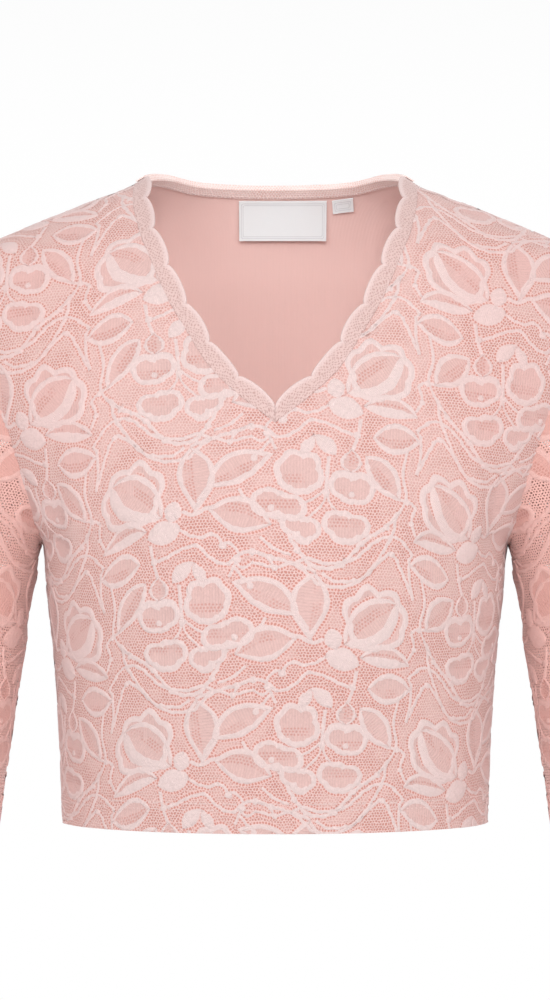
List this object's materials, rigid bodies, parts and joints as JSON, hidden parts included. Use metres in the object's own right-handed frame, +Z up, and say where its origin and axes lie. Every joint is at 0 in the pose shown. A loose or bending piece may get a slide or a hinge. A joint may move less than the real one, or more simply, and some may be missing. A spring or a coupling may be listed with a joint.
{
  "type": "dirndl blouse",
  "caption": "Women's dirndl blouse of stretch lace over a jersey lining, with a scalloped V neck and set-in sheer lace sleeves, in its hollow worn form.",
  "frame": {"origin": "midway between the two points where the shoulder seams meet the neckline, where the wearer's shoulders hold the blouse up", "axes": "+Z up, the front faces -Y, +X to the viewer's right"},
  "size_m": [0.5142, 0.2272, 0.4462],
  "materials": {
    "pink_jersey": "matte jersey",
    "pink_lace": "matte stretch lace",
    "sheer_sleeve_lace": "sheer stretch lace",
    "cream_edging_lace": "matte scalloped lace",
    "white_woven_tape": "satin woven tape"
  },
  "bodies": {
    "root": {"front_lining": "pink_jersey", "back_lining": "pink_jersey", "front_lace": "pink_lace", "back_lace": "pink_lace", "sleeve_left_cap": "sheer_sleeve_lace", "sleeve_left_arm": "sheer_sleeve_lace", "sleeve_right_cap": "sheer_sleeve_lace", "sleeve_right_arm": "sheer_sleeve_lace", "edging_left": "cream_edging_lace", "edging_right": "cream_edging_lace", "back_neck_binding": "pink_lace", "label": "white_woven_tape", "size_tab": "white_woven_tape"}
  },
  "joints": []
}
